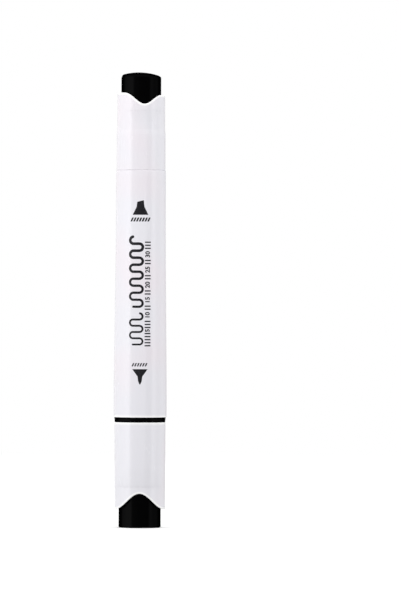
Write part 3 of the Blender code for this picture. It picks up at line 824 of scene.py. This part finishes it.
def build_cap_shell(cap):
    """The white shell, its end cut straight through to a wave with a rounded lip of even width."""
    grip, bore, top = cap["plug"] + 0.08, cap["bore"], cap["wave_high"]
    mouth_radius, mouth = reach(cap["name"] + "_shell"), cap["seam"] - CAP_SEAM
    wall = [(mouth_radius + change, height, 2.0) for change, height in cap["wall"]]
    end_radius, cut_below = wall[-1][:2]
    corners = [
        (bore + 0.4, mouth),
        (mouth_radius, mouth, 0.15),
        (mouth_radius, mouth + RIM_BRIGHT),
        (mouth_radius, mouth + RIM_FADE),
        *wall[1:],
        (end_radius, top - LIP_FADE),
        (end_radius, top - LIP_ROUND),
        (end_radius, top, LIP_ROUND),
        (grip, top, 0.15),
        (grip, cut_below),
        (grip, PLUG_SKIRT - 0.4),
        (bore, PLUG_SKIRT - 2.6),
        *reversed(bead(bore, 0.12, 0.5, 0.4, 0.7, 0.15)),
        (bore, 0.30, 0.1),
        (bore + 0.2, mouth),
    ]

    def cut_to_wave(row):
        above = row[:, 2] > cut_below + 1e-6
        height, steepness = wave(cap, row[:, 0])
        from_top = (top - row[:, 2]) * np.sqrt(1 + steepness**2)
        row[:, 2] = np.where(above, height - from_top, row[:, 2])
        return row

    points = outline(corners, 7)
    shell = turned(cap["name"] + "_shell_finished", points, WAVY, True, cut_to_wave)
    # painted highlight: the cut end, and on the fine cap also the mouth, are painted a brighter white
    shares = near([top - height for _, height in points], LIP_ROUND, LIP_FADE)
    if cap["painted_mouth_highlight"]:
        shares += near([height - mouth for _, height in points], RIM_BRIGHT, RIM_FADE)
    mark_lip(shell, shares, WAVY)
    put_in_cap_frame(shell, cap["mouth"], cap["turn"], cap["flipped"])
    place(shell, cap["name"] + "_shell", cap["name"], "white_polypropylene")


def build_cap_end_plug(cap):
    """The black cup that closes the cap: domed and slanted on the broad cap, flat on the fine cap."""
    outer, inner, length, dome = cap["plug"], cap["plug"] - 1.0, cap["length"], cap["dome_radius"]
    hollow = length - 1.6
    if dome:
        centre = length - dome
        edge = centre + math.sqrt(dome**2 - outer**2)
        crown = [(r, centre + math.sqrt(dome**2 - r**2)) for r in np.linspace(outer * 0.7, 0, 12)]
    else:
        edge = length
        crown = [(outer * 0.5, length), (0, length)]
    corners = [
        (0, hollow),
        (inner, hollow, 0.8),
        (inner + 0.25, PLUG_SKIRT, 0.1),
        (outer, PLUG_SKIRT, 0.3),
        (outer, edge, cap["plug_corner"]),
        *crown,
    ]

    def slanted(row):
        share = np.clip((row[:, 2] - hollow) / (edge - hollow), 0, 1)
        row[:, 2] += cap["crown_slant"] * row[:, 0] * share
        return row

    plug = turned(cap["name"] + "_end_plug_finished", outline(corners, 9), ROUND, False, slanted)
    put_in_cap_frame(plug, cap["mouth"], cap["turn"], cap["flipped"])
    place(plug, cap["name"] + "_end_plug", cap["name"], "black_plastic")


def build_cap_inner_seal(cap):
    """The soft cup that closes round the nozzle."""
    bore, foot = cap["seal"], cap["plug"] - 1.08
    (mouth_radius, mouth), end = bore[0], bore[-1][1]
    corners = [
        (0, end),
        *((r, z, 0.3) for r, z in reversed(bore[1:])),
        (mouth_radius, mouth + 0.9, 0.4),
        (mouth_radius + 0.4, mouth + 0.1, 0.15),
        (foot, mouth + 0.1, 0.2),
        (foot, mouth + 1.2, 0.2),
        (mouth_radius + SEAL_WALL, mouth + 1.2, 0.15),
        *((r + SEAL_WALL, z, 0.3) for r, z in bore[1:-1]),
        (bore[-1][0] + SEAL_WALL, end + SEAL_WALL, 0.4),
        (0, end + SEAL_WALL),
    ]
    seal = turned(cap["name"] + "_inner_seal_finished", outline(corners), SMALL, closed=False)
    put_in_cap_frame(seal, cap["mouth"], cap["turn"], cap["flipped"])
    place(seal, cap["name"] + "_inner_seal", cap["name"], "natural_polyethylene")


def build_cap(cap):
    build_cap_shell(cap)
    build_cap_end_plug(cap)
    build_cap_inner_seal(cap)


# The print on the barrel: nib pictograms, stroke samples and a small ruler. It is drawn flat, with x
# across the front and z up the barrel, then wrapped.

INK_THICKNESS = 0.018
INK_SUNK = INK_THICKNESS / 3         # how far the ink's back lies inside the barrel
INK_SLICE = 0.4                      # widest flat strip before wrapping


def add_points(mesh, points):
    """Adds points (x, z) to a flat mesh."""
    return [mesh.verts.new((x, 0.0, z)) for x, z in points]


def flat_mesh(shapes):
    """One flat mesh from outlines given as lists of (x, z)."""
    mesh = bmesh.new()
    for shape in shapes:
        mesh.faces.new(add_points(mesh, shape))
    return mesh


def printed(name, mesh):
    """Slices a flat mesh, gives it the ink's thickness and wraps it round the barrel's front."""
    mesh.normal_update()
    bmesh.ops.triangulate(mesh, faces=mesh.faces)
    slices = int(max(abs(vert.co.x) for vert in mesh.verts) / INK_SLICE)
    for i in range(-slices, slices + 1):
        geometry = mesh.verts[:] + mesh.edges[:] + mesh.faces[:]
        bmesh.ops.bisect_plane(mesh, geom=geometry, plane_co=(i * INK_SLICE, 0, 0), plane_no=(1, 0, 0))
    raised = bmesh.ops.extrude_face_region(mesh, geom=mesh.faces[:], use_keep_orig=True)["geom"]
    for vert in (v for v in raised if isinstance(v, bmesh.types.BMVert)):
        vert.co.y -= INK_THICKNESS
    for vert in mesh.verts:
        surface = barrel_radius(vert.co.z)
        angle = vert.co.x / surface
        radius = surface - vert.co.y - INK_SUNK
        vert.co = Vector((radius * math.sin(angle), -radius * math.cos(angle), vert.co.z)) * MM
    data = bpy.data.meshes.new(name)
    mesh.to_mesh(data)
    mesh.free()
    ink = add_mesh(name, data)
    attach(ink, "pen_body")
    ink.data.materials.append(print_ink())


def bar(x, z, width, height):
    """An upright rectangle about (x, z)."""
    w, h = width / 2, height / 2
    return [(x - w, z - h), (x + w, z - h), (x + w, z + h), (x - w, z + h)]


def hatching(x, z, width, height, strokes, thickness):
    """A row of slanted strokes centred on (x, z)."""
    lean = height * 0.45
    shapes = []
    for i in range(strokes):
        left = x - width / 2 + (width - lean - thickness) * i / (strokes - 1)
        foot, head = z - height / 2, z + height / 2
        shapes.append(
            [(left, foot), (left + thickness, foot), (left + thickness + lean, head), (left + lean, head)]
        )
    return shapes


def build_broad_pictogram():
    """A chisel nib standing out of its flared holder, over a row of broad strokes."""
    base, waist, top = BARREL_FOOT + 66.6, BARREL_FOOT + 69.2, BARREL_FOOT + 71.4
    shape = [(-2.6, base), (2.6, base), (1.3, waist), (1.05, top), (-1.1, top - 0.55), (-1.3, waist)]
    strokes = hatching(0.0, base - 1.55, 6.8, 1.3, 7, 0.60)
    printed("print_broad_pictogram", flat_mesh([shape, *strokes]))


def build_fine_pictogram():
    """A bullet nib pointing down out of its flared holder, under a row of fine strokes."""
    base, waist, tip = BARREL_FOOT + 15.9, BARREL_FOOT + 13.5, BARREL_FOOT + 10.9
    half = [(2.55, base), (0.8, waist), (0.6, tip + 1.1), (0.15, tip)]
    shape = [(-x, z) for x, z in half] + half[::-1]
    strokes = hatching(-0.15, base + 1.45, 5.3, 1.1, 6, 0.48)
    printed("print_fine_pictogram", flat_mesh([shape, *strokes]))


def winding_path(bottom, turns, left, right, pitch):
    """A path that winds up the barrel between two sides, in half-round bends joined by short straights."""
    bend = pitch / 2
    path = []
    for i in range(turns):
        side = 1 if i % 2 == 0 else -1
        z = bottom + i * pitch
        ends = (left + bend, right - bend)
        start, end = ends if side > 0 else ends[::-1]
        path += [(x, z) for x in np.linspace(start, end, 6)[:-1]]
        angles = np.radians(np.linspace(-90, 90, 17)[:-1])
        path += [(end + side * bend * math.cos(a), z + bend + bend * math.sin(a)) for a in angles]
    return np.array(path)


def ribbon(mesh, path, first_width, last_width):
    """Adds a flat stroke along a path. Its width changes evenly, and its ends are round."""
    along = np.gradient(path, axis=0)
    along /= np.linalg.norm(along, axis=1)[:, None]
    across = np.column_stack([-along[:, 1], along[:, 0]])
    half = np.linspace(first_width, last_width, len(path))[:, None] / 2
    left, right = add_points(mesh, path + across * half), add_points(mesh, path - across * half)
    for i in range(len(path) - 1):
        mesh.faces.new([left[i], left[i + 1], right[i + 1], right[i]])
    turn = np.radians(np.arange(15, 180, 15))[:, None]
    for i, outward in ((0, -along[0]), (-1, along[-1])):
        end = path[i] + half[i] * (np.cos(turn) * across[i] + np.sin(turn) * outward)
        mesh.faces.new([left[i], *add_points(mesh, end), right[i]])


def build_stroke_samples():
    """Two winding strokes up the barrel: a fine one, and a broad one that swells."""
    mesh = bmesh.new()
    left, right = -3.45, 0.80
    ribbon(mesh, winding_path(BARREL_FOOT + 24.0, 5, left, right, 2.05), 0.60, 0.70)
    ribbon(mesh, winding_path(BARREL_FOOT + 36.4, 10, left, right, 2.30), 0.76, 0.95)
    printed("print_stroke_samples", mesh)


def numeral(text, x, z, size):
    """A flat mesh of a plain numeral that reads along the barrel."""
    curve = bpy.data.curves.new("numeral", "FONT")
    curve.body = text
    curve.size = size
    curve.align_x = "CENTER"
    curve.align_y = "CENTER"
    curve.offset = 0.07              # a little bolder than the plain font
    obj = bpy.data.objects.new("numeral", curve)
    data = bpy.data.meshes.new_from_object(obj)
    bpy.data.objects.remove(obj)
    upright = Matrix.Rotation(math.pi / 2, 4, "X") @ Matrix.Rotation(math.pi / 2, 4, "Z")
    data.transform(Matrix.Translation((x, 0, z)) @ upright)
    return data


def build_ruler():
    """A small ruler beside the strokes: a numeral each five millimetres, and ticks where there is room."""
    bottom, length, middle, tick_length, tick_width = BARREL_FOOT + 23.6, 34, 2.5, 2.0, 0.42
    numeral_size, digit_room = 2.1, 1.3
    mesh = bmesh.new()
    numerals = {i: str(i) for i in range(5, length + 1, 5)}
    for i, text in numerals.items():
        mesh.from_mesh(numeral(text, middle, bottom + i, numeral_size))
    for i in range(length + 1):
        if all(abs(i - j) > len(text) * digit_room / 2 for j, text in numerals.items()):
            mesh.faces.new(add_points(mesh, bar(middle, bottom + i, tick_length, tick_width)))
    bmesh.ops.remove_doubles(mesh, verts=mesh.verts, dist=1e-4)
    printed("print_ruler", mesh)


# Stage


# The studio's panels as (azimuth in degrees, brightness). 0 is the camera's side and -90 the left.
PANELS = [
    (-180, 0.9),
    (-150, 1.1),
    (-125, 1.6),
    (-50, 3.9),
    (-40, 1.0),
    (-5, 0.5),
    (50, 0.35),
    (56, 2.1),
    (68, 2.1),
    (76, 1.3),
    (105, 1.4),
    (150, 0.7),
]
CEILING_REFLECTION = 1.3
MATT_LIGHT = [(0.0, 0.58), (1.0, 1.77)]   # brightness at the horizon and overhead
LEFT_BIAS = 0.04                     # how much brighter the matt light is at the far left
FLOOR_LIGHT = (0.77, 1.12)           # what the floor sends up near the marker and far from it
FLOOR_LIGHT_RISE = (0.05, 0.35)      # metres from the marker's axis between which that light rises
FLOOR_FADE = (0.25, 0.90)            # metres between which the floor turns into plain white
KEY_LIGHT_PLACE = (-0.25, -0.30, 0.45)
KEY_LIGHT_POWER = 0.09


def blend_shader(tree, share, first, second):
    """Goes from the first shader to the second as the share goes from 0 to 1."""
    return add_node(tree, "ShaderNodeMixShader", {0: share, 1: first, 2: second}).outputs[0]


def build_floor():
    """A pale floor with a faint texture. Far from the marker it fades into the white of the studio.

    It sends less light back up near the marker, and reflections show the studio's panels through it.
    """
    half = 8.0
    corners = [(-half, -half, 0), (half, -half, 0), (half, half, 0), (-half, half, 0)]
    data = bpy.data.meshes.new("floor")
    data.from_pydata(corners, [], [(0, 1, 2, 3)])
    floor = bpy.data.objects.new("floor", data)
    bpy.context.scene.collection.objects.link(floor)
    made, tree, shader = new_material("pale_floor", {"Roughness": 0.9, "Specular IOR Level": 0.1})
    colour = blend_colour(tree, grain(tree, 60.0, 2.0), (0.92, 0.92, 0.92), (0.95, 0.95, 0.95))
    connect(tree, shader, Base_Color=colour)
    white = add_node(tree, "ShaderNodeEmission", {"Strength": 1.0}).outputs[0]
    point = object_point(tree)
    distance = add_node(tree, "ShaderNodeVectorMath", {0: point}, operation="LENGTH").outputs["Value"]
    plain = blend_shader(tree, spread(tree, distance, *FLOOR_FADE, 0.0, 1.0), shader.outputs[0], white)
    upwards = spread(tree, distance, *FLOOR_LIGHT_RISE, *FLOOR_LIGHT)
    bounce = add_node(tree, "ShaderNodeEmission", {"Strength": upwards}).outputs[0]
    clear = add_node(tree, "ShaderNodeBsdfTransparent").outputs[0]
    ray = add_node(tree, "ShaderNodeLightPath").outputs
    seen = blend_shader(tree, ray["Is Diffuse Ray"], plain, bounce)
    seen = blend_shader(tree, ray["Is Glossy Ray"], seen, clear)
    tree.links.new(seen, tree.nodes["Material Output"].inputs["Surface"])
    data.materials.append(made)


def stepped(tree, value, stops):
    """A curve through (value, result) stops, held beyond the first and the last."""
    result = stops[0][1]
    for (low_in, low_out), (high_in, high_out) in zip(stops, stops[1:]):
        result = maths(tree, "ADD", result, spread(tree, value, low_in, high_in, 0.0, high_out - low_out))
    return result


def build_world():
    """A studio of soft panels: a wide one at the left, a slim one at the right, and a pale ceiling.

    The camera sees plain white behind the marker. Matt surfaces get a light that grows steadily from
    the horizon upwards and is a hair stronger from the left. Reflections show the panels, with darker
    gaps between them.
    """
    world = bpy.data.worlds.new("studio")
    bpy.context.scene.world = world
    world.use_nodes = True
    tree = world.node_tree
    direction = add_node(tree, "ShaderNodeTexCoord").outputs["Generated"]
    split = add_node(tree, "ShaderNodeSeparateXYZ", {"Vector": direction}).outputs
    backwards = maths(tree, "MULTIPLY", split["Y"], -1.0)
    azimuth = maths(tree, "MULTIPLY", maths(tree, "ARCTAN2", split["X"], backwards), 180 / math.pi)
    panels = stepped(tree, azimuth, PANELS)
    ceiling = stepped(tree, split["Z"], [(0.35, 0.0), (0.75, 1.0)])
    reflected = blend_value(tree, ceiling, panels, CEILING_REFLECTION)
    leftwards = maths(tree, "MULTIPLY", split["X"], -LEFT_BIAS)
    matt = maths(tree, "ADD", stepped(tree, split["Z"], MATT_LIGHT), leftwards)
    path = add_node(tree, "ShaderNodeLightPath").outputs
    strength = blend_value(tree, path["Is Glossy Ray"], matt, reflected)
    strength = blend_value(tree, path["Is Camera Ray"], strength, 1.0)
    background = tree.nodes["Background"]
    background.inputs["Color"].default_value = (1.0, 1.0, 1.0, 1.0)
    tree.links.new(strength, background.inputs["Strength"])


def build_key_light():
    """One weak soft lamp, in front, above and to the left: it makes the upper end a little lighter."""
    data = bpy.data.lights.new("key_light", "AREA")
    data.shape = "DISK"
    data.size = 0.35
    data.energy = KEY_LIGHT_POWER
    light = bpy.data.objects.new("key_light", data)
    bpy.context.scene.collection.objects.link(light)
    light.visible_glossy = False
    light.location = KEY_LIGHT_PLACE
    aim = Vector((0.0, 0.0, 0.10)) - light.location
    light.rotation_euler = aim.to_track_quat("-Z", "Y").to_euler()


def build_camera():
    """Level with the marker's middle, far away and rolled a hair, with the marker left of the centre."""
    distance, view_height, to_the_right, roll = 1.9, 198.2 * MM, 19.8 * MM, math.radians(-0.23)
    data = bpy.data.cameras.new("camera")
    data.sensor_width = 36.0
    data.lens = data.sensor_width * distance / view_height
    camera = bpy.data.objects.new("camera", data)
    bpy.context.scene.collection.objects.link(camera)
    camera.location = (to_the_right, -distance, 74.9 * MM)
    camera.rotation_euler = (math.radians(90), roll, 0)
    bpy.context.scene.camera = camera


def main():
    build_barrel()
    build_fine_nib_holder()
    build_broad_nib()
    build_fine_nib()
    build_reservoir()
    build_cap(BROAD_CAP)
    build_cap(FINE_CAP)
    build_broad_pictogram()
    build_fine_pictogram()
    build_stroke_samples()
    build_ruler()
    build_floor()
    build_world()
    build_key_light()
    build_camera()
    bpy.context.scene.view_settings.view_transform = "Standard"


main()
